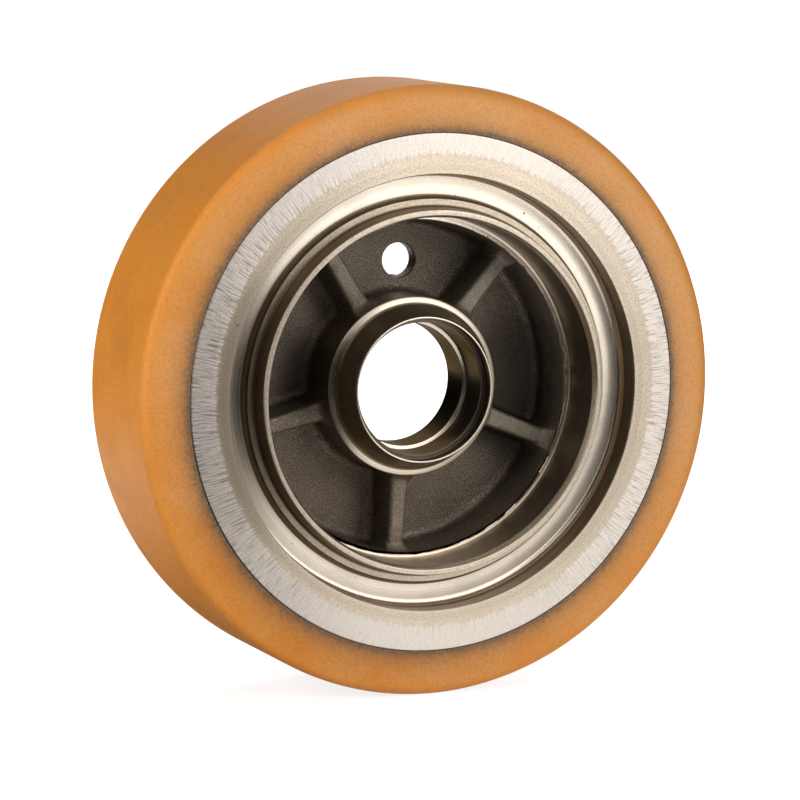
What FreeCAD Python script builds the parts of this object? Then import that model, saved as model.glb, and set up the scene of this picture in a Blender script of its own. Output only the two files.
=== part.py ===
import FreeCAD, Part
import Sketcher
import os
import re

# Load wheel of a lift truck: one machined iron casting with a polyurethane tyre bonded to its rim.
# The axle runs along Y and the open brake-drum side faces -Y.
# Depths are measured backwards from the front face of the rim, radii from the axle.

doc = FreeCAD.newDocument("load_wheel")

# Sizes in millimetres, angles in degrees. The gap between the bearings is what the wheel's width leaves.
SIZES = [
    # Tyre and overall width
    ("wheel_width", 100),
    ("tyre_thickness", 27),
    ("tyre_side_slope", 4.6),
    ("tyre_shoulder_round", 6),
    # Brake drum and the lip round its mouth
    ("drum_diameter", 200),
    ("drum_depth", 35.7),
    ("drum_corner_round", 2),
    ("drum_ledge_width", 4),
    ("drum_ledge_round", 0.8),
    ("drum_lead_in_width", 1.6),
    ("drum_lead_in_length", 3.9),
    ("lip_setback", 0.8),
    ("lip_face_width", 2.4),
    ("lip_taper", 1.8),
    # Ledge and trough between the lip and the rim
    ("ledge_depth", 12),
    ("ledge_width", 4.2),
    ("ledge_corner_round", 1.2),
    ("trough_depth", 17.2),
    ("trough_width", 14.7),
    ("trough_corner_round", 2.4),
    ("rim_face_width", 23.3),
    # Web, its ribs and its hole
    ("rib_count", 5),
    ("rib_start_angle", 49.5),
    ("rib_thickness", 10),
    ("rib_side_draft", 1),
    ("rib_setback", 6.8),
    ("rib_height", 26),
    ("rib_crest_round", 2.5),
    ("web_thickness", 10.5),
    ("web_wall_draft", 2),
    ("web_corner_round", 5),
    ("web_hole_diameter", 20),
    ("web_hole_radius", 70),
    # Boss and its two bearing seats
    ("bearing_diameter", 76.2),
    ("rear_seat_step", 8.53),
    ("bearing_seat_length", 21.5),
    ("bearing_shoulder", 2.4),
    ("seal_recess_step", 2.9),
    ("seal_recess_length", 6.8),
    ("boss_front_depth", 17.2),
    ("boss_rear_setback", 4.7),
    ("bearing_spacing", "=wheel_width - boss_front_depth - boss_rear_setback"
                        " - 2 * (seal_recess_length + bearing_seat_length)"),
    ("boss_wall", 13.9),
    ("boss_rear_draft", 1),
    ("boss_rear_round", 2),
    ("nose_face_width", 1),
    ("nose_length", 16.5),
    ("nose_root_round", 3),
    ("boss_bevel_width", 4.7),
    ("boss_bevel_length", 2.5),
    # Cast hollow behind the trough
    ("bridge_thickness", 14),
    ("drum_wall", 11),
    ("rim_wall", 14),
    ("hollow_draft", 2),
    ("hollow_corner_round", 7),
    ("drum_back_round", 6),
]

sheet = doc.addObject("Spreadsheet::Sheet", "sizes")
for row, (alias, value) in enumerate(SIZES, start=1):
    sheet.set(f"A{row}", alias)
    sheet.set(f"B{row}", str(value))
    sheet.setAlias(f"B{row}", alias)
doc.recompute()


def size(expression):
    return float(sheet.evalExpression(expression))


def named(expression):
    """The expression with the sheet's name before each size."""
    aliases = {alias for alias, _ in SIZES}
    return re.sub(r"[a-z_]+", lambda word: f"sizes.{word[0]}" if word[0] in aliases else word[0], expression)


def new_body(label):
    body = doc.addObject("PartDesign::Body", label)
    body.Label = label
    body.setExpression("Placement.Base.y", named("-wheel_width / 2"))
    return body


def new_sketch(body, name, plane_role, offset="0"):
    sketch = body.newObject("Sketcher::SketchObject", name)
    planes = [feature for feature in body.Origin.OriginFeatures if feature.Role == plane_role]
    sketch.AttachmentSupport = [(planes[0], "")]
    sketch.MapMode = "FlatFace"
    sketch.setExpression("AttachmentOffset.Base.z", named(offset))
    return sketch


def hold(sketch, kind, name, *where, expression):
    """A dimension of the sketch that follows an expression."""
    place = sketch.addConstraint(Sketcher.Constraint(kind, *where, size(expression)))
    sketch.renameConstraint(place, name)
    return f"Constraints.{name}", named(expression)


def draw_outline(sketch, corners):
    """A closed outline: each corner is its place across and along, and may have a rounding radius."""
    points = [FreeCAD.Vector(size(across), size(along), 0) for across, along, *_ in corners]
    count = len(points)
    bindings = []
    for start in range(count):
        sketch.addGeometry(Part.LineSegment(points[start], points[(start + 1) % count]))
    for start in range(count):
        sketch.addConstraint(Sketcher.Constraint("Coincident", start, 2, (start + 1) % count, 1))
    for start, (across, along, *_) in enumerate(corners):
        bindings.append(hold(sketch, "DistanceX", f"across_{start}", -1, 1, start, 1, expression=across))
        bindings.append(hold(sketch, "DistanceY", f"along_{start}", -1, 1, start, 1, expression=along))
    for start, (_, _, *radius) in enumerate(corners):
        if radius:
            arc = sketch.GeometryCount
            sketch.fillet(start, 1, size(radius[0]), True, True)
            bindings.append(hold(sketch, "Radius", f"round_{start}", arc, expression=radius[0]))
    for constraint, expression in bindings:
        sketch.setExpression(constraint, expression)


def revolve(body, name, corners):
    sketch = new_sketch(body, f"{name}_section", "XY_Plane")
    draw_outline(sketch, corners)
    feature = body.newObject("PartDesign::Revolution", name)
    feature.Profile = sketch
    feature.ReferenceAxis = (sketch, ["V_Axis"])
    feature.Angle = 360
    doc.recompute()
    return feature


# Radii, outwards from the axle
SEAT = "bearing_diameter / 2"
REAR_SEAT = f"{SEAT} + rear_seat_step"
THROUGH_BORE = f"{SEAT} - bearing_shoulder"
SEAL_RECESS = f"{SEAT} + seal_recess_step"
REAR_RECESS = f"{REAR_SEAT} + seal_recess_step"
NOSE = f"{SEAL_RECESS} + nose_face_width"
BOSS = f"{SEAT} + boss_wall"
REAR_BOSS = f"{REAR_SEAT} + boss_wall"
DRUM = "drum_diameter / 2"
LIP_INNER = f"{DRUM} + drum_lead_in_width"
LIP_OUTER = f"{LIP_INNER} + lip_face_width"
LEDGE_INNER = f"{LIP_OUTER} + lip_taper"
LEDGE_OUTER = f"{LEDGE_INNER} + ledge_width"
TROUGH_OUTER = f"{LEDGE_OUTER} + trough_width"
RIM = f"{TROUGH_OUTER} + rim_face_width"
TREAD = f"{RIM} + tyre_thickness"
WALL_FRONT = f"{DRUM} - drum_ledge_width"
WALL_BACK = f"{WALL_FRONT} - web_wall_draft"

# Depths, backwards from the rim's front face
LEAD_IN_END = "lip_setback + drum_lead_in_length"
CREST = "drum_depth + rib_setback"
WEB_FRONT = f"{CREST} + rib_height"
WEB_MIDDLE = f"{WEB_FRONT} + web_thickness / 2"
WEB_BACK = f"{WEB_FRONT} + web_thickness"
NOSE_BREAK = "boss_front_depth + nose_length"
BEVEL_END = f"{NOSE_BREAK} + boss_bevel_length"
FRONT_SEAT = "boss_front_depth + seal_recess_length"
FRONT_SHOULDER = f"{FRONT_SEAT} + bearing_seat_length"
REAR_SHOULDER = f"{FRONT_SHOULDER} + bearing_spacing"
REAR_SEAT_END = f"{REAR_SHOULDER} + bearing_seat_length"
BOSS_BACK = f"{REAR_SEAT_END} + seal_recess_length"
HOLLOW_END = "trough_depth + bridge_thickness"

# Hub section: rim face, trough, ledge, lip, drum, web, boss and its bore, then the cast back
hub = new_body("hub")
hub.Placement.Rotation = FreeCAD.Rotation(FreeCAD.Vector(0, -1, 0), size("rib_start_angle"))
hub.setExpression("Placement.Rotation.Angle", named("rib_start_angle"))
casting = revolve(hub, "casting", [
    (RIM, "0"),
    (TROUGH_OUTER, "0"),
    (TROUGH_OUTER, "trough_depth", "trough_corner_round"),
    (LEDGE_OUTER, "trough_depth", "trough_corner_round"),
    (LEDGE_OUTER, "ledge_depth"),
    (LEDGE_INNER, "ledge_depth", "ledge_corner_round"),
    (LIP_OUTER, "lip_setback"),
    (LIP_INNER, "lip_setback"),
    (DRUM, LEAD_IN_END),
    (DRUM, "drum_depth", "drum_corner_round"),
    (WALL_FRONT, "drum_depth", "drum_ledge_round"),
    (WALL_BACK, WEB_FRONT, "web_corner_round"),
    (BOSS, WEB_FRONT, "web_corner_round"),
    (BOSS, BEVEL_END),
    (f"{BOSS} - boss_bevel_width", NOSE_BREAK, "nose_root_round"),
    (NOSE, "boss_front_depth"),
    (SEAL_RECESS, "boss_front_depth"),
    (SEAL_RECESS, FRONT_SEAT),
    (SEAT, FRONT_SEAT),
    (SEAT, FRONT_SHOULDER),
    (THROUGH_BORE, FRONT_SHOULDER),
    (THROUGH_BORE, REAR_SHOULDER),
    (REAR_SEAT, REAR_SHOULDER),
    (REAR_SEAT, REAR_SEAT_END),
    (REAR_RECESS, REAR_SEAT_END),
    (REAR_RECESS, BOSS_BACK),
    (f"{REAR_BOSS} - boss_rear_draft", BOSS_BACK, "boss_rear_round"),
    (REAR_BOSS, WEB_BACK, "web_corner_round"),
    (f"{DRUM} + drum_wall - hollow_draft", WEB_BACK, "drum_back_round"),
    (f"{DRUM} + drum_wall", HOLLOW_END, "hollow_corner_round"),
    (f"{RIM} - rim_wall", HOLLOW_END, "hollow_corner_round"),
    (f"{RIM} - rim_wall + hollow_draft", "wheel_width"),
    (RIM, "wheel_width"),
])

# Ribs on the web: a tapered section with a rounded crest and flared feet, rooted in boss and drum wall
RIB_START = f"{SEAT} + (rear_seat_step + boss_wall) / 2"
RIB_END = f"{DRUM} + drum_wall / 3"
FOOT = f"{WEB_FRONT} + web_thickness / 50"
HALF_CREST = "rib_thickness / 2"
HALF_ROOT = f"{HALF_CREST} + rib_side_draft"
HALF_FOOT = f"{HALF_ROOT} + web_corner_round * 1.2"
half_section = [
    (WEB_MIDDLE, HALF_FOOT),
    (FOOT, HALF_FOOT),
    (FOOT, HALF_ROOT, "web_corner_round"),
    (CREST, HALF_CREST, "rib_crest_round"),
]
other_half = [(depth, f"-({half})", *radius) for depth, half, *radius in reversed(half_section)]
rib_section = new_sketch(hub, "rib_section", "YZ_Plane", RIB_START)
draw_outline(rib_section, half_section + other_half)
rib = hub.newObject("PartDesign::Pad", "rib")
rib.Profile = rib_section
rib.setExpression("Length", named(f"{RIB_END} - ({RIB_START})"))
doc.recompute()

ribs = hub.newObject("PartDesign::PolarPattern", "ribs")
ribs.Originals = [rib]
ribs.Axis = (doc.getObject("casting_section"), ["V_Axis"])
ribs.Angle = 360
ribs.setExpression("Occurrences", named("rib_count"))
hub.Tip = ribs
doc.recompute()

# One hole through the web, midway between the first two ribs
hole_plan = new_sketch(hub, "hole_plan", "XZ_Plane", f"-({WEB_FRONT})")
hole_centre = FreeCAD.Vector(size("web_hole_radius"), 0, 0)
hole_plan.addGeometry(Part.Circle(hole_centre, FreeCAD.Vector(0, 0, 1), size("web_hole_diameter / 2")))
hole_angle = "180 deg / rib_count"
for constraint, expression in [
    hold(hole_plan, "Diameter", "hole_size", 0, expression="web_hole_diameter"),
    hold(hole_plan, "DistanceX", "hole_across", -1, 1, 0, 3, expression=f"web_hole_radius * cos({hole_angle})"),
    hold(hole_plan, "DistanceY", "hole_along", -1, 1, 0, 3, expression=f"web_hole_radius * sin({hole_angle})"),
]:
    hole_plan.setExpression(constraint, expression)
hole = hub.newObject("PartDesign::Pocket", "web_hole")
hole.Profile = hole_plan
hole.setExpression("Length", named("web_thickness"))
doc.recompute()

# Tyre section: bonded to the full width of the rim, its sides sloping back to rounded shoulders
tyre = new_body("tyre")
revolve(tyre, "moulding", [
    (RIM, "0"),
    (TREAD, "tyre_side_slope", "tyre_shoulder_round"),
    (TREAD, "wheel_width - tyre_side_slope", "tyre_shoulder_round"),
    (RIM, "wheel_width"),
])

# Both pieces have to be whole before they are written
for item in doc.Objects:
    if "Invalid" in item.State or "Error" in item.State:
        raise RuntimeError(f"{item.Label} failed")
if hole.Shape.Volume >= ribs.Shape.Volume:
    raise RuntimeError("the hole in the web cut nothing")
os.makedirs("parts", exist_ok=True)
for body in (hub, tyre):
    if body.Shape.isNull() or not body.Shape.isValid():
        raise RuntimeError(f"{body.Label} has no valid shape")
    body.Shape.exportStep(f"parts/{body.Label}.step")
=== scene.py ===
import math

import bmesh
import bpy
from mathutils import Matrix, Vector, noise


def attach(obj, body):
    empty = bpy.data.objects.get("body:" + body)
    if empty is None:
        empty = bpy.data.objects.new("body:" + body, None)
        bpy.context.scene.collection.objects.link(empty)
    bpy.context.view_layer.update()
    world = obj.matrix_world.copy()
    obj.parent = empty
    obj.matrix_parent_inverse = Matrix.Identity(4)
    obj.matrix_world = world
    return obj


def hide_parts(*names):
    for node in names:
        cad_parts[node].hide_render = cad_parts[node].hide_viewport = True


# Load wheel of a lift truck: an iron casting, machined on its working faces, with a bonded polyurethane tyre.
# The axle runs along Y and the open brake-drum side faces -Y. Section sizes are in millimetres.
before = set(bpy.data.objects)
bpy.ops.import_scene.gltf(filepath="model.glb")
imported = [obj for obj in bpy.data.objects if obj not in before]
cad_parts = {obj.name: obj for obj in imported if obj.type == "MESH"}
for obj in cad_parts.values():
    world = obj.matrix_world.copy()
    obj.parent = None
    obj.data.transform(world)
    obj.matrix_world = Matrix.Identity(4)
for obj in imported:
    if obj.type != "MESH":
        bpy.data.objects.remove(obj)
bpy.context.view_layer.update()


# Hub: one grey-iron sand casting. The rim, the trough, the drum, the boss and the bore are turned on a lathe,
# the web with its five ribs and the hollow back keep the rough skin of the sand mould.
# Radii are from the axle, depths from the rim's front face.
MM = 0.001
WIDTH = 100
FRONT_FACE = -WIDTH / 2
RIM_RADIUS = 148
TROUGH_RADIUS = 124.7
TROUGH_DEPTH = 17.2
LEDGE_RADIUS = 110
LEDGE_DEPTH = 12
LIP_FOOT_RADIUS = 105.8
LIP_RADIUS = 104.3
LIP_DEPTH = 0.8
LEAD_IN_RADIUS = 101.6
LEAD_IN_DEPTH = 4.7
DRUM_RADIUS = 100
DRUM_DEPTH = 35.7
WALL_RADIUS = 96
WALL_FOOT_RADIUS = 94
WEB_FRONT = 68.5
WEB_BACK = 79
POCKET_ROUNDING = 5
BOSS_RADIUS = 52
BOSS_DEPTH = 35.4
BEVEL_RADIUS = 47.3
BEVEL_DEPTH = 33.7
NOSE_RADIUS = 42
NOSE_DEPTH = 17.2
SEAL_RADIUS = 41
SEAL_DEPTH = 24
SEAT_RADIUS = 38.1
SEAT_DEPTH = 45.5
BORE_RADIUS = 35.7
BORE_DEPTH = 67
REAR_SEAT_RADIUS = 46.63
REAR_SEAT_DEPTH = 88.5
REAR_SEAL_RADIUS = 49.53
REAR_BOSS_RADIUS = 59.53
REAR_BOSS_FOOT = 60.53
REAR_BOSS_DEPTH = 95.3
DRUM_BACK_RADIUS = 109
HOLLOW_INNER_RADIUS = 111
HOLLOW_OUTER_RADIUS = 134
HOLLOW_DEPTH = 31.2
RIM_BACK_RADIUS = 136
HUB_FINISHES = ["faced", "turned", "drum", "bored", "cast"]

# Each row is a corner of the section: radius, depth, rounding, finish of the face that follows
HUB_SECTION = [
    (RIM_RADIUS, 0, 0.5, "faced"),
    (TROUGH_RADIUS, 0, 0.45, "drum"),
    (TROUGH_RADIUS, TROUGH_DEPTH, 3.6, "turned"),
    (LEDGE_RADIUS, TROUGH_DEPTH, 2.4, "drum"),
    (LEDGE_RADIUS, LEDGE_DEPTH, 0.35, "faced"),
    (LIP_FOOT_RADIUS, LEDGE_DEPTH, 1.2, "drum"),
    (LIP_RADIUS, LIP_DEPTH, 0.6, "faced"),
    (LEAD_IN_RADIUS, LIP_DEPTH, 0.3, "turned"),
    (DRUM_RADIUS, LEAD_IN_DEPTH, 0.3, "drum"),
    (DRUM_RADIUS, DRUM_DEPTH, 1, "turned"),
    (WALL_RADIUS, DRUM_DEPTH, 0.5, "pocket"),
    (WALL_FOOT_RADIUS, WEB_FRONT, POCKET_ROUNDING, "pocket"),
    (BOSS_RADIUS, WEB_FRONT, POCKET_ROUNDING, "pocket"),
    (BOSS_RADIUS, BOSS_DEPTH, 1.2, "turned"),
    (BEVEL_RADIUS, BEVEL_DEPTH, 3, "drum"),
    (NOSE_RADIUS, NOSE_DEPTH, 0.25, "turned"),
    (SEAL_RADIUS, NOSE_DEPTH, 0.25, "bored"),
    (SEAL_RADIUS, SEAL_DEPTH, 0.2, "bored"),
    (SEAT_RADIUS, SEAL_DEPTH, 0.3, "bored"),
    (SEAT_RADIUS, SEAT_DEPTH, 0.3, "turned"),
    (BORE_RADIUS, SEAT_DEPTH, 0.4, "bored"),
    (BORE_RADIUS, BORE_DEPTH, 0.4, "bored"),
    (REAR_SEAT_RADIUS, BORE_DEPTH, 0.3, "bored"),
    (REAR_SEAT_RADIUS, REAR_SEAT_DEPTH, 0.3, "bored"),
    (REAR_SEAL_RADIUS, REAR_SEAT_DEPTH, 0.2, "bored"),
    (REAR_SEAL_RADIUS, REAR_BOSS_DEPTH, 0.3, "turned"),
    (REAR_BOSS_RADIUS, REAR_BOSS_DEPTH, 2, "cast"),
    (REAR_BOSS_FOOT, WEB_BACK, 5, "cast"),
    (DRUM_BACK_RADIUS, WEB_BACK, 6, "cast"),
    (HOLLOW_INNER_RADIUS, HOLLOW_DEPTH, 7, "cast"),
    (HOLLOW_OUTER_RADIUS, HOLLOW_DEPTH, 7, "cast"),
    (RIM_BACK_RADIUS, WIDTH, 0.6, "turned"),
    (RIM_RADIUS, WIDTH, 0.5, "turned"),
]

# Half of a rib across its length, in the same form, with the distance from the rib's middle as the radius
RIB_COUNT = 5
FIRST_RIB_ANGLE = 49.5
RIB_ANGLES = [FIRST_RIB_ANGLE + 360 / RIB_COUNT * rib for rib in range(RIB_COUNT)]
RIB_DEPTH = 42.5
RIB_HALF_CREST = 5
RIB_HALF_FOOT = 6
FOOT_REACH = 12
RIB_SECTION = [
    (0, RIB_DEPTH, 0, "cast"),
    (RIB_HALF_CREST, RIB_DEPTH, 2.5, "cast"),
    (RIB_HALF_FOOT, WEB_FRONT, POCKET_ROUNDING, "cast"),
    (FOOT_REACH, WEB_FRONT, 0, "cast"),
]

# The core that shaped the pockets sat a little off the axle, and its edge came out rippled, with the ripples
# drawn out along the depth
CORE_SHIFT = 1.0
CORE_ANGLE = 60
CORE_BLEND = 14
CORE_UNEVEN = 0.45
CORE_RIPPLE = 24
CORE_DRAW = 0.05

# The corners of the pockets, seen from the front, are sharp at the top and fully rounded lower down
CORNERS_START = 36
CORNERS_FULL = 46

# How finely the surfaces are divided
SHORTEST_RUN = 1.8
SUPPORT_PLACE = 0.35
LONGEST_RUN = {"pocket": 2.4, "cast": 5.5}
LONGEST_RIB_RUN = 5
FREE_COLUMNS = 34


def rounded_section(corners, closed=True):
    """Points of a section, as a place and a finish, with each corner rounded as its row says."""
    points = []
    count = len(corners)
    for place, (radius, depth, rounding, finish) in enumerate(corners):
        here = Vector((radius, depth))
        at_end = not closed and place in (0, count - 1)
        if rounding == 0 or at_end:
            points.append((here, finish))
            continue
        before = (Vector(corners[place - 1][:2]) - here).normalized()
        after = (Vector(corners[(place + 1) % count][:2]) - here).normalized()
        half = before.angle(after) / 2
        reach = rounding / math.tan(half)
        centre = here + (before + after).normalized() * (rounding / math.sin(half))
        start = here + before * reach - centre
        end = here + after * reach - centre
        steps = 1 + math.ceil(rounding)
        for step in range(steps + 1):
            points.append((centre + start.slerp(end, step / steps).normalized() * rounding, finish))
    return points


def divided(points):
    """Stations of a closed section: its points with long runs divided, and a support beside each corner."""
    stations = []
    for place, (here, finish) in enumerate(points):
        stations.append((here.x, here.y, finish))
        run = points[(place + 1) % len(points)][0] - here
        if run.length < SHORTEST_RUN:
            continue
        shares = {SUPPORT_PLACE / run.length, 1 - SUPPORT_PLACE / run.length}
        pieces = math.ceil(run.length / LONGEST_RUN.get(finish, math.inf))
        shares.update(step / pieces for step in range(1, pieces))
        for share in sorted(shares):
            stations.append((here.x + run.x * share, here.y + run.y * share, finish))
    return stations


def rib_columns():
    """Columns round the wheel: rib, distance beside it, greatest depth, share of the way to the next rib."""
    half = [point for point, _ in rounded_section(RIB_SECTION, closed=False)]
    side = []
    for here, following in zip(half, half[1:]):
        run = following - here
        pieces = max(1, math.ceil(run.length / LONGEST_RIB_RUN))
        side.extend((here.x + run.x * k / pieces, here.y + run.y * k / pieces) for k in range(pieces))
    side.append((half[-1].x, half[-1].y))
    columns = []
    for rib in range(RIB_COUNT):
        columns.extend((rib, -beside, depth, None) for beside, depth in reversed(side[1:]))
        columns.extend((rib, beside, depth, None) for beside, depth in side)
        columns.extend((rib, FOOT_REACH, math.inf, k / FREE_COLUMNS) for k in range(1, FREE_COLUMNS))
    return columns


def column_angle(column, radius):
    """Angle of a column at a radius: ribs keep their width, and the free sectors take up what is left."""
    rib, beside, _, share = column
    reach = min(max(radius, BOSS_RADIUS), WALL_RADIUS)
    angle = math.radians(RIB_ANGLES[rib]) + math.asin(beside / reach)
    if share is None:
        return angle
    sector = math.tau / RIB_COUNT - 2 * math.asin(FOOT_REACH / reach)
    return angle + sector * share


def eased(low, high, value):
    """A smooth step from 0 at low to 1 at high."""
    share = min(max((value - low) / (high - low), 0), 1)
    return share * share * (3 - 2 * share)


def wheel_point(radius, depth, angle):
    """A place on the wheel, in metres."""
    return Vector((radius * math.cos(angle), depth + FRONT_FACE, radius * math.sin(angle))) * MM


def hub_point(station, column):
    """A grid point of the hub: the turned section, with ribs, rounded pocket corners and the core's shift."""
    radius, depth, finish = station
    _, beside, limit, share = column
    angle = column_angle(column, radius)
    if finish == "pocket":
        corner = 0.0
        if share is None:
            gap = min(max((FOOT_REACH - 1 - abs(beside)) / POCKET_ROUNDING, 0), 1)
            corner = POCKET_ROUNDING - POCKET_ROUNDING * math.sqrt(1 - gap * gap)
        middle = (BOSS_RADIUS + WALL_RADIUS) / 2
        half_width = (WALL_FOOT_RADIUS - BOSS_RADIUS) / 2
        squeeze = corner / half_width * eased(CORNERS_START, CORNERS_FULL, depth)
        radius = middle + (radius - middle) * (1 - squeeze)
        depth = min(depth, limit)
        off_axle = CORE_SHIFT * (1 - math.cos(angle - math.radians(CORE_ANGLE)))
        ripple = (math.cos(angle) * CORE_RIPPLE, math.sin(angle) * CORE_RIPPLE, depth * CORE_DRAW)
        uneven = CORE_UNEVEN * noise.noise(ripple)
        radius += (off_axle + uneven) * eased(WALL_FOOT_RADIUS - CORE_BLEND, WALL_FOOT_RADIUS, radius)
    return wheel_point(radius, depth, angle)


def lathe_mesh(name, stations, columns, place, finishes):
    """A closed grid of stations along the section by columns round it, with a material for each finish."""
    form = bmesh.new()
    rings = [[form.verts.new(place(station, column)) for column in columns] for station in stations]
    for here, station in enumerate(stations):
        ring = rings[here]
        following = rings[(here + 1) % len(rings)]
        index = finishes.index("cast" if station[2] == "pocket" else station[2])
        for column in range(len(columns)):
            beside = (column + 1) % len(columns)
            face = form.faces.new((ring[column], ring[beside], following[beside], following[column]))
            face.material_index = index
            face.smooth = True
    bmesh.ops.remove_doubles(form, verts=form.verts, dist=0.02 * MM)
    bmesh.ops.recalc_face_normals(form, faces=form.faces)
    mesh = bpy.data.meshes.new(name)
    form.to_mesh(mesh)
    form.free()
    piece = bpy.data.objects.new(name, mesh)
    bpy.context.scene.collection.objects.link(piece)
    return piece


hub_stations = divided(rounded_section(HUB_SECTION))
hub = lathe_mesh("cast_hub", hub_stations, rib_columns(), hub_point, HUB_FINISHES)

# The sand skin is uneven: low waves and small lumps along the normal on every cast face
WAVE_HEIGHT = 0.22
WAVES_PER_METRE = 70
LUMP_HEIGHT = 0.10
LUMPS_PER_METRE = 240
cast_index = HUB_FINISHES.index("cast")
cast_points = set()
machined_points = set()
for face in hub.data.polygons:
    (cast_points if face.material_index == cast_index else machined_points).update(face.vertices)
hub_normals = [vertex.normal.copy() for vertex in hub.data.vertices]
for index in sorted(cast_points - machined_points):
    vertex = hub.data.vertices[index]
    waves = noise.noise(vertex.co * WAVES_PER_METRE) * WAVE_HEIGHT
    lumps = noise.noise(vertex.co * LUMPS_PER_METRE) * LUMP_HEIGHT
    vertex.co += hub_normals[index] * (waves + lumps) * MM

# The hole through the web comes out of the mould with flared edges. Its core is a closed spindle.
HOLE_PLACE = 70.0
HOLE_ANGLE = 85.5
HOLE_RADIUS = 10
FLARE_RADIUS = 12
FLARE_MIDDLE = 10.6
SPINDLE_MIDDLE = 0.01
HOLE_COLUMNS = 40
hole_rows = [
    (FLARE_RADIUS, WEB_FRONT - 8.5, "cast"),
    (FLARE_RADIUS, WEB_FRONT - 1.1, "cast"),
    (FLARE_MIDDLE, WEB_FRONT + 0.1, "cast"),
    (HOLE_RADIUS, WEB_FRONT + 1.5, "cast"),
    (HOLE_RADIUS, WEB_BACK - 1.5, "cast"),
    (FLARE_MIDDLE, WEB_BACK - 0.1, "cast"),
    (FLARE_RADIUS, WEB_BACK + 1, "cast"),
    (FLARE_RADIUS, WEB_BACK + 7, "cast"),
    (SPINDLE_MIDDLE, WEB_BACK + 7, "cast"),
    (SPINDLE_MIDDLE, WEB_FRONT - 8.5, "cast"),
]
hole_turn = math.radians(HOLE_ANGLE)
hole_centre = Vector((math.cos(hole_turn), 0, math.sin(hole_turn))) * HOLE_PLACE * MM


def even_columns(count):
    return [math.tau * k / count for k in range(count)]


def hole_point(station, column):
    radius, depth, _ = station
    return wheel_point(radius, depth, column) + hole_centre


hole_core = lathe_mesh("hole_core", hole_rows, even_columns(HOLE_COLUMNS), hole_point, HUB_FINISHES)


def new_material(name):
    """A material with its node tree and its shader."""
    material = bpy.data.materials.new(name)
    material.use_nodes = True
    tree = material.node_tree
    return material, tree, tree.nodes["Principled BSDF"]


def add_node(tree, kind, sockets=None, **settings):
    """A node with its settings, each socket given a value or joined to the socket that feeds it."""
    node = tree.nodes.new(kind)
    for setting, value in settings.items():
        setattr(node, setting, value)
    for socket, value in (sockets or {}).items():
        if isinstance(value, bpy.types.NodeSocket):
            tree.links.new(value, node.inputs[socket])
        else:
            node.inputs[socket].default_value = value
    return node


def math_node(tree, operation, first, second=0.0, third=0.0):
    node = add_node(tree, "ShaderNodeMath", {0: first, 1: second, 2: third}, operation=operation)
    return node.outputs[0]


def product(tree, first, *others):
    for other in others:
        first = math_node(tree, "MULTIPLY", first, other)
    return first


def ramp(tree, value, low, high, start=0.0, end=1.0):
    """The value eased from start to end as it goes from low to high."""
    limits = {"Value": value, "From Min": low, "From Max": high, "To Min": start, "To Max": end}
    return add_node(tree, "ShaderNodeMapRange", limits, interpolation_type="SMOOTHSTEP").outputs["Result"]


def mix_colour(tree, share, first, second):
    return add_node(tree, "ShaderNodeMix", {0: share, 6: first, 7: second}, data_type="RGBA").outputs[2]


def object_place(tree):
    return add_node(tree, "ShaderNodeTexCoord").outputs["Object"]


def soft_noise(tree, place, scale, detail, roughness=0.5):
    """Noise over the object's surface, evenly about one half."""
    sockets = {"Vector": place, "Scale": scale, "Detail": detail, "Roughness": roughness}
    return add_node(tree, "ShaderNodeTexNoise", sockets).outputs["Fac"]


def line_noise(tree, along, detail):
    """Noise that changes along one measure only."""
    sockets = {"W": along, "Scale": 1.0, "Detail": detail}
    return add_node(tree, "ShaderNodeTexNoise", sockets, noise_dimensions="1D").outputs["Fac"]


def new_group(name, inputs, outputs):
    """A node group with number inputs and their usual values, and number outputs."""
    group = bpy.data.node_groups.new(name, "ShaderNodeTree")
    for socket, value in inputs:
        made = group.interface.new_socket(name=socket, in_out="INPUT", socket_type="NodeSocketFloat")
        made.default_value = value
    for socket in outputs:
        group.interface.new_socket(name=socket, in_out="OUTPUT", socket_type="NodeSocketFloat")
    return group, group.nodes.new("NodeGroupInput"), group.nodes.new("NodeGroupOutput")


def place_group(tree, group, **values):
    """A group placed in a material or in another group, with its own values."""
    sockets = {socket.replace("_", " "): value for socket, value in values.items()}
    return add_node(tree, "ShaderNodeGroup", sockets, node_tree=group).outputs


def facing(tree, turn, angle):
    """1 on the side of the wheel at the angle, in radians, falling to -1 on the side across from it."""
    return math_node(tree, "COSINE", math_node(tree, "MULTIPLY_ADD", turn, math.tau, -angle))


# Radius, turn and depth of a point about the axle, which every mark left by the lathe follows
polar_group, _, polar_out = new_group("axle_polar", [], ["Radius", "Turn", "Depth"])
polar_parts = add_node(polar_group, "ShaderNodeSeparateXYZ", {0: object_place(polar_group)}).outputs
polar_flat = add_node(polar_group, "ShaderNodeCombineXYZ", {0: polar_parts[0], 1: polar_parts[2]}).outputs[0]
polar_radius = add_node(polar_group, "ShaderNodeVectorMath", {0: polar_flat}, operation="LENGTH")
polar_angle = math_node(polar_group, "ARCTAN2", polar_parts[2], polar_parts[0])
polar_turn = math_node(polar_group, "DIVIDE", polar_angle, math.tau)
polar_depth = math_node(polar_group, "ADD", polar_parts[1], -FRONT_FACE * MM)
polar_group.links.new(polar_radius.outputs["Value"], polar_out.inputs["Radius"])
polar_group.links.new(polar_turn, polar_out.inputs["Turn"])
polar_group.links.new(polar_depth, polar_out.inputs["Depth"])

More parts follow.
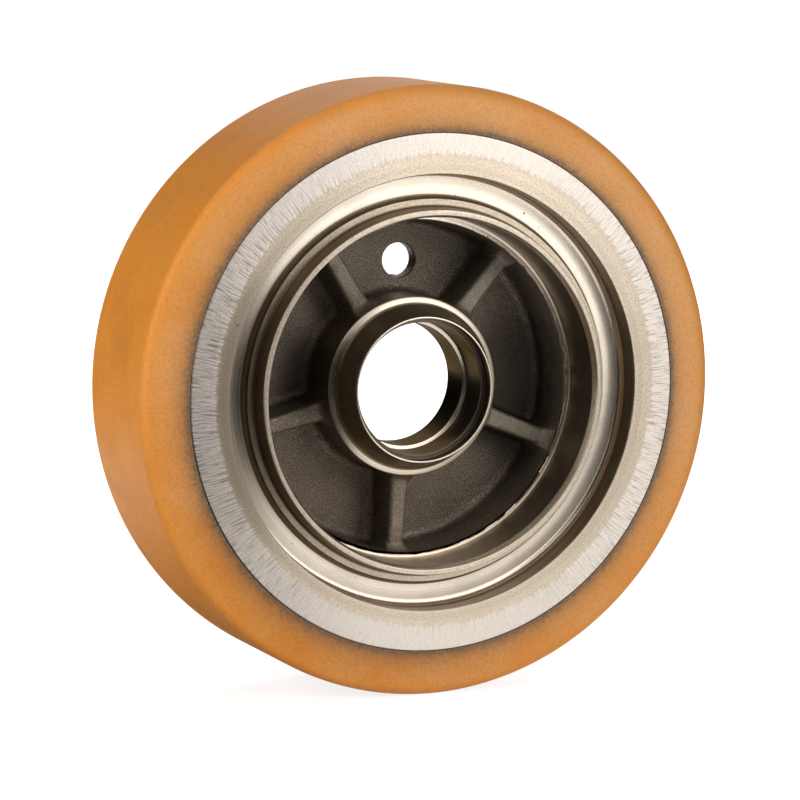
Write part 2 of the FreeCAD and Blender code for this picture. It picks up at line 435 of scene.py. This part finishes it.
# Fine rings of the turning tool, uneven in depth, that drift a little off the axle
rings_group, rings_in, rings_out = new_group("tool_rings", [("Rings per metre", 2500.0)], ["Rings", "Bands"])
rings_polar = place_group(rings_group, polar_group)
rings_drift = soft_noise(rings_group, object_place(rings_group), 6.0, 1.0)
rings_along = math_node(rings_group, "ADD", rings_polar["Radius"], rings_polar["Depth"])
rings_shift = math_node(rings_group, "MULTIPLY_ADD", rings_drift, 0.6 * MM, rings_along)
rings_fine = math_node(rings_group, "MULTIPLY", rings_shift, rings_in.outputs["Rings per metre"])
rings_wide = math_node(rings_group, "MULTIPLY", rings_shift, 260.0)
rings_group.links.new(line_noise(rings_group, rings_fine, 0.5), rings_out.inputs["Rings"])
rings_group.links.new(line_noise(rings_group, rings_wide, 2.0), rings_out.inputs["Bands"])

# Blotches of oil, dust or oxide with soft ragged edges
stain_inputs = [("Scale", 30.0), ("Level", 0.55), ("Softness", 0.12)]
stain_group, stain_in, stain_out = new_group("stains", stain_inputs, ["Mask"])
stain_noise = soft_noise(stain_group, object_place(stain_group), stain_in.outputs["Scale"], 6.0, 0.6)
stain_low = math_node(stain_group, "SUBTRACT", stain_in.outputs["Level"], stain_in.outputs["Softness"])
stain_high = math_node(stain_group, "ADD", stain_in.outputs["Level"], stain_in.outputs["Softness"])
stain_group.links.new(ramp(stain_group, stain_noise, stain_low, stain_high), stain_out.inputs["Mask"])

# Painted shade on the left side of the wheel, with a wavering edge
left_shade_group, _, left_shade_out = new_group("painted_left_shade", [], ["Mask"])
# Painted shade: 1 on the left side of the wheel, nothing elsewhere
left_shade_turn = place_group(left_shade_group, polar_group)["Turn"]
left_shade_edge = soft_noise(left_shade_group, object_place(left_shade_group), 18.0, 4.0)
left_shade_side = math_node(left_shade_group, "MULTIPLY_ADD", left_shade_edge, 0.2, facing(left_shade_group, left_shade_turn, 3.2))
left_shade_group.links.new(ramp(left_shade_group, left_shade_side, 0.82, 1.08), left_shade_out.inputs["Mask"])

# Small open pores of the iron, cut open by the tool: few, dark and of uneven size
pore_inputs = [("Scale", 260.0), ("Size", 0.16), ("Share", 0.62)]
pore_group, pore_in, pore_out = new_group("pores", pore_inputs, ["Mask"])
pore_sockets = {"Vector": object_place(pore_group), "Scale": pore_in.outputs["Scale"]}
pore_cells = add_node(pore_group, "ShaderNodeTexVoronoi", pore_sockets)
pore_pick = add_node(pore_group, "ShaderNodeSeparateColor", {0: pore_cells.outputs["Color"]}).outputs[0]
pore_room = math_node(pore_group, "SUBTRACT", pore_pick, pore_in.outputs["Share"])
pore_size = product(pore_group, pore_room, 3.0, pore_in.outputs["Size"])
pore_mask = math_node(pore_group, "LESS_THAN", pore_cells.outputs["Distance"], pore_size)
pore_group.links.new(pore_mask, pore_out.inputs["Mask"])


def brushed(tree, shader, amount):
    """Grooves that run round the axle: the shine spreads across them."""
    tangent = add_node(tree, "ShaderNodeTangent", direction_type="RADIAL", axis="Y").outputs[0]
    tree.links.new(tangent, shader.inputs["Tangent"])
    shader.inputs["Anisotropic"].default_value = amount
    shader.inputs["Anisotropic Rotation"].default_value = 0.25


def in_relief(tree, shader, height, strength, distance):
    """Marks too fine for the mesh, as a bump."""
    sockets = {"Height": height, "Strength": strength, "Distance": distance * MM}
    tree.links.new(add_node(tree, "ShaderNodeBump", sockets).outputs[0], shader.inputs["Normal"])


# Faced rim: beige turned iron, dry and grainy, with painted shade at the left. Grinding the tyre flush left
# strokes across its outer part, whiter than the rest, and the edge of that band runs a little off centre.
GROUND_RADIUS = 136.5
GROUND_SHIFT = 1.9
GROUND_FRAY = 3.2
STROKES_ROUND = 1200.0
faced, tree, shader = new_material("faced_rim")
polar = place_group(tree, polar_group)
rings = place_group(tree, rings_group, Rings_per_metre=1800.0)
stains = place_group(tree, stain_group, Scale=24.0, Level=0.54, Softness=0.2)["Mask"]
pores = place_group(tree, pore_group, Scale=150.0, Size=0.17, Share=0.84)["Mask"]
left_shade = place_group(tree, left_shade_group)["Mask"]
place = object_place(tree)
torn = soft_noise(tree, place, 820.0, 3.0, 0.6)
frayed = soft_noise(tree, place, 260.0, 4.0)
sway = soft_noise(tree, place, 22.0, 2.0)
off_centre = facing(tree, polar["Turn"], 0.6)
band_edge = math_node(tree, "MULTIPLY_ADD", off_centre, GROUND_SHIFT * MM, GROUND_RADIUS * MM)
band_edge = math_node(tree, "MULTIPLY_ADD", frayed, -GROUND_FRAY * MM, band_edge)
past_edge = math_node(tree, "SUBTRACT", polar["Radius"], band_edge)
swaying = math_node(tree, "MULTIPLY", sway, 10.0)
stroke_turn = math_node(tree, "MULTIPLY_ADD", polar["Turn"], STROKES_ROUND, swaying)
stroke_turn = math_node(tree, "MULTIPLY_ADD", polar["Radius"], 60.0, stroke_turn)
stroke_out = math_node(tree, "MULTIPLY", polar["Radius"], 70.0)
stroke_place = add_node(tree, "ShaderNodeCombineXYZ", {0: stroke_turn, 1: stroke_out}).outputs[0]
strokes = soft_noise(tree, stroke_place, 1.0, 2.5, 0.6)
stroked = ramp(tree, math_node(tree, "MULTIPLY_ADD", strokes, 8 * MM, past_edge), 2.8 * MM, 5.4 * MM)
plain = mix_colour(tree, rings["Bands"], (0.585, 0.485, 0.365, 1), (0.76, 0.645, 0.505, 1))
plain = mix_colour(tree, ramp(tree, torn, 0.46, 0.66, 0.0, 0.55), plain, (0.38, 0.318, 0.247, 1))
plain = mix_colour(tree, product(tree, stains, 0.4), plain, (0.52, 0.44, 0.34, 1))
# Painted shade: beyond the lip, the rim is darker at the left
past_lip = ramp(tree, polar["Radius"], (LIP_RADIUS + 0.2) * MM, (LIP_RADIUS + 1.2) * MM, 0.0, 0.6)
plain = mix_colour(tree, product(tree, left_shade, past_lip), plain, (0.27, 0.215, 0.155, 1))
plain = mix_colour(tree, pores, plain, (0.05, 0.04, 0.03, 1))
# Painted shine across the strokes: furrows darker and crests lighter at the left and right, all darker at the
# left
across = facing(tree, polar["Turn"], 0.0)
left_stroke_shade = ramp(tree, product(tree, across, -1.0), 0.72, 1.0)
side_on = ramp(tree, math_node(tree, "ABSOLUTE", across), 0.35, 0.95)
furrow = mix_colour(tree, side_on, (0.655, 0.587, 0.517, 1), (0.43, 0.37, 0.312, 1))
furrow = mix_colour(tree, left_stroke_shade, furrow, (0.26, 0.223, 0.187, 1))
crest = mix_colour(tree, side_on, (0.745, 0.668, 0.597, 1), (0.825, 0.738, 0.657, 1))
crest = mix_colour(tree, left_stroke_shade, crest, (0.66, 0.59, 0.525, 1))
scored = mix_colour(tree, ramp(tree, strokes, 0.32, 0.54), furrow, crest)
scored = mix_colour(tree, ramp(tree, torn, 0.5, 0.72, 0.0, 0.35), scored, (0.40, 0.345, 0.295, 1))
tree.links.new(mix_colour(tree, stroked, plain, scored), shader.inputs["Base Color"])
tree.links.new(ramp(tree, torn, 0.35, 0.7, 0.34, 0.46), shader.inputs["Roughness"])
stroke_depth = math_node(tree, "MULTIPLY_ADD", side_on, 2.3, 1.2)
stroke_height = math_node(tree, "ADD", torn, product(tree, strokes, stroke_depth, stroked))
in_relief(tree, shader, math_node(tree, "MULTIPLY_ADD", rings["Rings"], 0.5, stroke_height), 0.25, 0.3)
shader.inputs["Metallic"].default_value = 1.0
brushed(tree, shader, 0.72)
hub.data.materials.append(faced)

# Turned iron: smooth bright faces in the trough and on the boss, finished with a fine feed. They keep the
# rings of the tool and a few open pores, and are painted darker at the left as painted shade.
turned, tree, shader = new_material("turned_iron")
rings = place_group(tree, rings_group, Rings_per_metre=1100.0)
stains = place_group(tree, stain_group, Scale=34.0, Level=0.58, Softness=0.16)["Mask"]
pores = place_group(tree, pore_group, Scale=210.0, Size=0.2, Share=0.78)["Mask"]
left_shade = place_group(tree, left_shade_group)["Mask"]
colour = mix_colour(tree, rings["Bands"], (0.72, 0.607, 0.475, 1), (0.90, 0.81, 0.688, 1))
colour = mix_colour(tree, ramp(tree, rings["Rings"], 0.45, 0.75, 0.0, 0.3), colour, (0.46, 0.39, 0.30, 1))
colour = mix_colour(tree, product(tree, stains, 0.4), colour, (0.52, 0.44, 0.34, 1))
# Painted shade: darker at the left side of the wheel
colour = mix_colour(tree, product(tree, left_shade, 0.6), colour, (0.30, 0.235, 0.165, 1))
colour = mix_colour(tree, pores, colour, (0.06, 0.05, 0.04, 1))
tree.links.new(colour, shader.inputs["Base Color"])
tree.links.new(ramp(tree, rings["Bands"], 0.3, 0.7, 0.31, 0.21), shader.inputs["Roughness"])
in_relief(tree, shader, rings["Rings"], 0.015, 0.1)
shader.inputs["Metallic"].default_value = 1.0
brushed(tree, shader, 0.75)
hub.data.materials.append(turned)

# Walls of the drum, the trough and the boss: turned iron browned by oil and oxide. Painted light makes the
# drum wall paler where it is lowest and faces up.
drum, tree, shader = new_material("drum_wall")
polar = place_group(tree, polar_group)
rings = place_group(tree, rings_group, Rings_per_metre=2600.0)
stains = place_group(tree, stain_group, Scale=40.0, Level=0.5, Softness=0.2)["Mask"]
colour = mix_colour(tree, rings["Bands"], (0.19, 0.145, 0.095, 1), (0.34, 0.27, 0.19, 1))
colour = mix_colour(tree, product(tree, stains, 0.5), colour, (0.14, 0.095, 0.055, 1))
# Painted light on the lowest part of the drum wall, which faces up
lit_lowest = ramp(tree, facing(tree, polar["Turn"], -1.7), 0.72, 1.0, 0.0, 0.8)
outside = ramp(tree, polar["Radius"], (DRUM_RADIUS - 1.5) * MM, (DRUM_RADIUS - 1) * MM)
inside = ramp(tree, polar["Radius"], (DRUM_RADIUS + 1) * MM, (DRUM_RADIUS + 1.5) * MM, 1.0, 0.0)
colour = mix_colour(tree, product(tree, lit_lowest, outside, inside), colour, (0.78, 0.645, 0.465, 1))
tree.links.new(colour, shader.inputs["Base Color"])
tree.links.new(ramp(tree, rings["Rings"], 0.3, 0.7, 0.42, 0.30), shader.inputs["Roughness"])
in_relief(tree, shader, rings["Rings"], 0.2, 0.1)
shader.inputs["Metallic"].default_value = 1.0
brushed(tree, shader, 0.6)
hub.data.materials.append(drum)

# Bearing bore: the seats and the shoulder between them, bored in one setting and wiped with brown grease,
# which tints their shine
bored, tree, shader = new_material("bored_seats")
rings = place_group(tree, rings_group, Rings_per_metre=3000.0)
stains = place_group(tree, stain_group, Scale=60.0, Level=0.5, Softness=0.2)["Mask"]
colour = mix_colour(tree, rings["Bands"], (0.105, 0.085, 0.062, 1), (0.20, 0.167, 0.127, 1))
colour = mix_colour(tree, product(tree, stains, 0.5), colour, (0.09, 0.062, 0.036, 1))
tree.links.new(colour, shader.inputs["Base Color"])
tree.links.new(ramp(tree, rings["Rings"], 0.3, 0.7, 0.40, 0.28), shader.inputs["Roughness"])
in_relief(tree, shader, rings["Rings"], 0.15, 0.1)
shader.inputs["Metallic"].default_value = 1.0
shader.inputs["Specular Tint"].default_value = (0.42, 0.36, 0.29, 1)
brushed(tree, shader, 0.6)
hub.data.materials.append(bored)

# Cast skin: dark iron with the grain of the sand mould, brown in blotches. The ribs' crests are painted
# lighter as painted light, least at the left. The boss's shadow and the shade in the pocket at the right are
# painted dark.
cast, tree, shader = new_material("cast_skin")
polar = place_group(tree, polar_group)
stains = place_group(tree, stain_group, Scale=32.0, Level=0.5, Softness=0.2)["Mask"]
place = object_place(tree)
grain = soft_noise(tree, place, 1300.0, 3.0, 0.6)
lumps = soft_noise(tree, place, 260.0, 3.0)
colour = mix_colour(tree, ramp(tree, grain, 0.36, 0.7), (0.107, 0.087, 0.067, 1), (0.388, 0.320, 0.249, 1))
# Painted light on the ribs' crests, almost none at the left, which lies in shade
lit_crest = ramp(tree, polar["Depth"], (RIB_DEPTH + 0.5) * MM, (RIB_DEPTH + 9.5) * MM, 0.6, 0.0)
between = ramp(tree, polar["Radius"], WALL_RADIUS * MM, (WALL_RADIUS + 1) * MM, 1.0, 0.0)
leaning = ramp(tree, facing(tree, polar["Turn"], 0.2), -1.0, 0.2, 0.1, 1.0)
colour = mix_colour(tree, product(tree, lit_crest, between, leaning), colour, (0.31, 0.265, 0.21, 1))
colour = mix_colour(tree, product(tree, stains, 0.45), colour, (0.115, 0.086, 0.060, 1))
# Painted shadow of the boss on the pocket beside it at the left
boss_shadow = ramp(tree, facing(tree, polar["Turn"], 3.05), 0.86, 0.985)
boss_shadow_reach = ramp(tree, polar["Radius"], (BOSS_RADIUS + 10) * MM, (BOSS_RADIUS + 34) * MM, 0.75, 0.0)
colour = mix_colour(tree, product(tree, boss_shadow, boss_shadow_reach), colour, (0.045, 0.034, 0.025, 1))
# Painted shade on the floor of the pocket at the right, kept off the ribs' crests and the wall
right_pocket_shade = ramp(tree, facing(tree, polar["Turn"], -0.1), 0.76, 0.99)
below = ramp(tree, polar["Depth"], (WEB_FRONT - 12.5) * MM, (WEB_FRONT - 2.5) * MM, 0.0, 0.8)
above = ramp(tree, polar["Depth"], (WEB_FRONT + 3.5) * MM, (WEB_FRONT + 6.5) * MM, 1.0, 0.0)
in_pocket = ramp(tree, polar["Radius"], WALL_RADIUS * MM, (WALL_RADIUS + 2) * MM, 1.0, 0.0)
colour = mix_colour(tree, product(tree, right_pocket_shade, below, above, in_pocket), colour, (0.045, 0.036, 0.025, 1))
tree.links.new(colour, shader.inputs["Base Color"])
tree.links.new(ramp(tree, grain, 0.3, 0.7, 0.6, 0.36), shader.inputs["Roughness"])
in_relief(tree, shader, math_node(tree, "MULTIPLY_ADD", lumps, 1.5, grain), 0.7, 0.6)
shader.inputs["Metallic"].default_value = 0.8
hub.data.materials.append(cast)

for finish in hub.data.materials:
    hole_core.data.materials.append(finish)
cut = hub.modifiers.new("web_hole", "BOOLEAN")
cut.operation = "DIFFERENCE"
cut.solver = "EXACT"
cut.object = hole_core
bpy.context.view_layer.update()
finished = bpy.data.meshes.new_from_object(hub.evaluated_get(bpy.context.evaluated_depsgraph_get()))
hub.modifiers.clear()
hub.data = finished
bpy.data.objects.remove(hole_core)
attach(hub, "root")
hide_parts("hub")


# Tyre: amber polyurethane, cast on the rim and bonded to it, then turned to size. Its sides slope back from
# the rim to rounded shoulders, and dark dust sits in the joint with the iron.
TREAD_RADIUS = 175
SIDE_SLOPE = 4.6
SHOULDER_ROUNDING = 6
TYRE_COLUMNS = 480
TYRE_SECTION = [
    (RIM_RADIUS, 0, 0.6, "tyre"),
    (TREAD_RADIUS, SIDE_SLOPE, SHOULDER_ROUNDING, "tyre"),
    (TREAD_RADIUS, WIDTH - SIDE_SLOPE, SHOULDER_ROUNDING, "tyre"),
    (RIM_RADIUS, WIDTH, 0.6, "tyre"),
]


def tyre_point(station, column):
    radius, depth, _ = station
    return wheel_point(radius, depth, column)


tyre_stations = divided(rounded_section(TYRE_SECTION))
tyre = lathe_mesh("bonded_tyre", tyre_stations, even_columns(TYRE_COLUMNS), tyre_point, ["tyre"])

amber, tree, shader = new_material("amber_polyurethane")
polar = place_group(tree, polar_group)
smudges = place_group(tree, stain_group, Scale=16.0, Level=0.62, Softness=0.05)["Mask"]
place = object_place(tree)
mottle = soft_noise(tree, place, 26.0, 6.0, 0.62)
speck = soft_noise(tree, place, 620.0, 3.0, 0.6)
dust_reach = soft_noise(tree, place, 130.0, 5.0, 0.7)
leaning = facing(tree, polar["Turn"], 0.8)

# The sides are chalky from weather in patches and paler to the upper right as a painted sheen. The shoulders
# are painted darker there as painted shade, and the tread is smudged
colour = mix_colour(tree, ramp(tree, mottle, 0.32, 0.68), (0.62, 0.215, 0.018, 1), (0.69, 0.250, 0.030, 1))
side = ramp(tree, polar["Radius"], (TREAD_RADIUS - 9) * MM, (TREAD_RADIUS - 0.5) * MM, 1.0, 0.0)
# Painted sheen: the sides paler towards the upper right, with real chalky patches
chalk_and_sheen = math_node(tree, "MULTIPLY_ADD", leaning, 0.22, ramp(tree, mottle, 0.3, 0.7, 0.2, 0.5))
colour = mix_colour(tree, product(tree, side, chalk_and_sheen), colour, (0.57, 0.32, 0.14, 1))
# Painted shade: the shoulders darker, most at the upper right
shoulder = ramp(tree, polar["Radius"], (TREAD_RADIUS - 10) * MM, (TREAD_RADIUS - 1) * MM)
shoulder_shade = product(tree, shoulder, ramp(tree, chalk_and_sheen, 0.25, 0.65, 0.0, 0.55))
colour = mix_colour(tree, shoulder_shade, colour, (0.34, 0.150, 0.034, 1))
tread = ramp(tree, polar["Radius"], (TREAD_RADIUS - 1.5) * MM, (TREAD_RADIUS - 0.1) * MM, 0.0, 0.22)
colour = mix_colour(tree, product(tree, smudges, tread), colour, (0.36, 0.135, 0.028, 1))
colour = mix_colour(tree, ramp(tree, speck, 0.42, 0.72, 0.0, 0.4), colour, (0.36, 0.16, 0.040, 1))

# Grinding dust lies thick at the joint and thins out over the side, further at the left
outward = math_node(tree, "MULTIPLY_ADD", dust_reach, -3.6 * MM, polar["Radius"])
inward = math_node(tree, "SUBTRACT", (RIM_RADIUS - 0.2) * MM, outward)
fading = math_node(tree, "MULTIPLY_ADD", leaning, -1.6 * MM, 5 * MM)
dust = math_node(tree, "EXPONENT", math_node(tree, "DIVIDE", inward, fading))
dust = math_node(tree, "MINIMUM", dust, 0.95)
dust = product(tree, dust, ramp(tree, speck, 0.3, 0.65, 0.75, 1.0))
colour = mix_colour(tree, dust, colour, (0.100, 0.068, 0.042, 1))
seam = ramp(tree, polar["Radius"], (RIM_RADIUS + 0.2) * MM, (RIM_RADIUS + 0.8) * MM, 0.9, 0.0)
colour = mix_colour(tree, seam, colour, (0.035, 0.022, 0.012, 1))
tree.links.new(colour, shader.inputs["Base Color"])
gloss = ramp(tree, polar["Radius"], (TREAD_RADIUS - 3) * MM, (TREAD_RADIUS - 0.2) * MM, 0.58, 0.46)
tree.links.new(math_node(tree, "MULTIPLY_ADD", speck, 0.1, gloss), shader.inputs["Roughness"])
in_relief(tree, shader, speck, 0.12, 0.3)
shader.inputs["Specular IOR Level"].default_value = 0.55
shader.inputs["IOR"].default_value = 1.5
tyre.data.materials.append(amber)
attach(tyre, "root")
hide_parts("tyre")


# Studio: a pale floor under the wheel and white all round, as on a product photographer's table.
# Dark cards with soft edges show only in the metal, as the unlit side of a room does. Some lamps give
# the shine on the metal, the others light the matt faces.
FLOOR_LEVEL = -TREAD_RADIUS * MM
CARD_LEVEL = FLOOR_LEVEL + 1.5 * MM
WHITE = (1, 1, 1, 1)


def flat_card(name, width, height):
    """A flat rectangle about its own centre, facing +Z."""
    mesh = bpy.data.meshes.new(name)
    half_width = width / 2
    half_height = height / 2
    corners = [(-half_width, -half_height, 0), (half_width, -half_height, 0), (half_width, half_height, 0),
               (-half_width, half_height, 0)]
    mesh.from_pydata(corners, [], [(0, 1, 2, 3)])
    card = bpy.data.objects.new(name, mesh)
    bpy.context.scene.collection.objects.link(card)
    return card


def seen_directly(tree):
    """1 for what the camera sees, also in metal or through glass, and 0 for the light on matt faces."""
    paths = add_node(tree, "ShaderNodeLightPath").outputs
    seen = math_node(tree, "MAXIMUM", paths["Is Camera Ray"], paths["Is Glossy Ray"])
    return math_node(tree, "MAXIMUM", seen, paths["Is Transmission Ray"])


def matt(shader, roughness):
    shader.inputs["Emission Color"].default_value = WHITE
    shader.inputs["Roughness"].default_value = roughness
    shader.inputs["Specular IOR Level"].default_value = 0.0


floor = flat_card("studio_floor", 12, 12)
floor.location = (0, 0, FLOOR_LEVEL)
floor_paint, tree, shader = new_material("floor_paint")
place = object_place(tree)
grit = soft_noise(tree, place, 40.0, 2.0)
distance = add_node(tree, "ShaderNodeVectorMath", {0: place}, operation="LENGTH").outputs["Value"]
seen = seen_directly(tree)
paint = mix_colour(tree, grit, (0.70, 0.70, 0.70, 1), (0.74, 0.74, 0.74, 1))
tree.links.new(mix_colour(tree, seen, paint, (0.34, 0.34, 0.34, 1)), shader.inputs["Base Color"])
glow = product(tree, seen, ramp(tree, distance, 0.35, 1.2, 0.80, 1.0))
tree.links.new(glow, shader.inputs["Emission Strength"])
matt(shader, 0.9)
floor.data.materials.append(floor_paint)


def aim(thing, place, target):
    thing.location = place
    thing.rotation_euler = (Vector(target) - Vector(place)).to_track_quat("-Z", "Y").to_euler()


# Each row is a card: name, place, the place it faces, width, height, width of its soft edge
for name, place, target, width, height, fade in [
    ("front_card", (-0.27, -0.52, 0.06), (0, 0, 0.06), 0.88, 0.53, 0.06),
    ("right_card", (0.60, 0.0, 0.11), (0, 0, 0.11), 0.84, 0.64, 0.06),
    ("back_card", (-0.50, 0.50, 0.27), (0, 0, 0.27), 1.60, 1.00, 0.10),
    ("low_card", (0.085, -0.64, -0.09), (0, 0, -0.09), 0.30, 0.17, 0.04),
    ("floor_card", (-0.95, -1.75, CARD_LEVEL), (-0.95, -1.751, -1), 3.1, 2.1, 0.20),
    ("left_floor_card", (-0.66, -0.43, CARD_LEVEL), (-0.66, -0.431, -1), 1.32, 1.46, 0.12),
]:
    card_paint, tree, shader = new_material(name + "_paint")
    across = add_node(tree, "ShaderNodeSeparateXYZ", {0: object_place(tree)}).outputs
    from_side = math_node(tree, "SUBTRACT", width / 2, math_node(tree, "ABSOLUTE", across[0]))
    from_end = math_node(tree, "SUBTRACT", height / 2, math_node(tree, "ABSOLUTE", across[1]))
    from_edge = math_node(tree, "MINIMUM", from_side, from_end)
    tree.links.new(ramp(tree, from_edge, 0.0, fade, 1.0, 0.0), shader.inputs["Emission Strength"])
    shader.inputs["Base Color"].default_value = (0.012, 0.012, 0.012, 1)
    matt(shader, 1.0)
    card = flat_card(name, width, height)
    aim(card, place, target)
    card.data.materials.append(card_paint)
    card.visible_camera = False
    card.visible_diffuse = False
    card.visible_shadow = False
    card.visible_transmission = False


def soft_lamp(name, place, width, height, watts, for_shine):
    """An area lamp towards the wheel, either for the shine on it or for the light on its matt faces."""
    lamp = bpy.data.lights.new(name, "AREA")
    lamp.shape = "RECTANGLE"
    lamp.size = width
    lamp.size_y = height
    lamp.energy = watts
    holder = bpy.data.objects.new(name, lamp)
    bpy.context.scene.collection.objects.link(holder)
    aim(holder, place, (0, 0, 0))
    holder.visible_glossy = for_shine
    holder.visible_diffuse = not for_shine


soft_lamp("softbox_right", (0.36, -0.60, 0.27), 0.65, 0.70, 1.2, True)
soft_lamp("softbox_top", (0.40, -0.25, 0.75), 0.50, 0.70, 1.0, True)
soft_lamp("strip_left", (-0.687, -0.134, 0.17), 0.27, 0.45, 0.75, True)
soft_lamp("lamp_key", (0.85, -1.75, 0.55), 0.5, 0.5, 23.5, False)
soft_lamp("lamp_left", (-1.9, -0.6, 0.7), 1.0, 1.4, 35, False)
soft_lamp("lamp_back", (1.5, 1.5, 0.8), 1.0, 1.0, 40, False)

world = bpy.data.worlds.new("white_studio")
bpy.context.scene.world = world
world.use_nodes = True
tree = world.node_tree
backdrop = tree.nodes["Background"]
tree.links.new(ramp(tree, seen_directly(tree), 0.0, 1.0, 0.15, 1.0), backdrop.inputs["Strength"])
backdrop.inputs["Color"].default_value = WHITE


# Camera: a long lens, a little to the left of the axle and above it. The wheel stands a little right of the
# picture's middle.
AZIMUTH = math.radians(-22.7)
ELEVATION = math.radians(7.83)
DISTANCE = 2.2718
SHIFT_RIGHT = 0.02068
SHIFT_UP = 0.00355
camera_data = bpy.data.cameras.new("camera")
camera_data.lens = 180.15
camera_data.sensor_width = 36
camera_data.sensor_fit = "HORIZONTAL"
camera_data.clip_start = 0.1
camera_data.clip_end = 50
camera = bpy.data.objects.new("camera", camera_data)
bpy.context.scene.collection.objects.link(camera)
level = math.cos(ELEVATION)
back = Vector((math.sin(AZIMUTH) * level, -math.cos(AZIMUTH) * level, math.sin(ELEVATION)))
right = Vector((math.cos(AZIMUTH), math.sin(AZIMUTH), 0))
up = back.cross(right)
aimed_at = Vector((0, FRONT_FACE * MM, 0)) - right * SHIFT_RIGHT - up * SHIFT_UP
turn = Matrix((right, up, back)).transposed()
camera.matrix_world = Matrix.Translation(aimed_at + back * DISTANCE) @ turn.to_4x4()
bpy.context.scene.camera = camera
bpy.context.scene.view_settings.view_transform = "Standard"
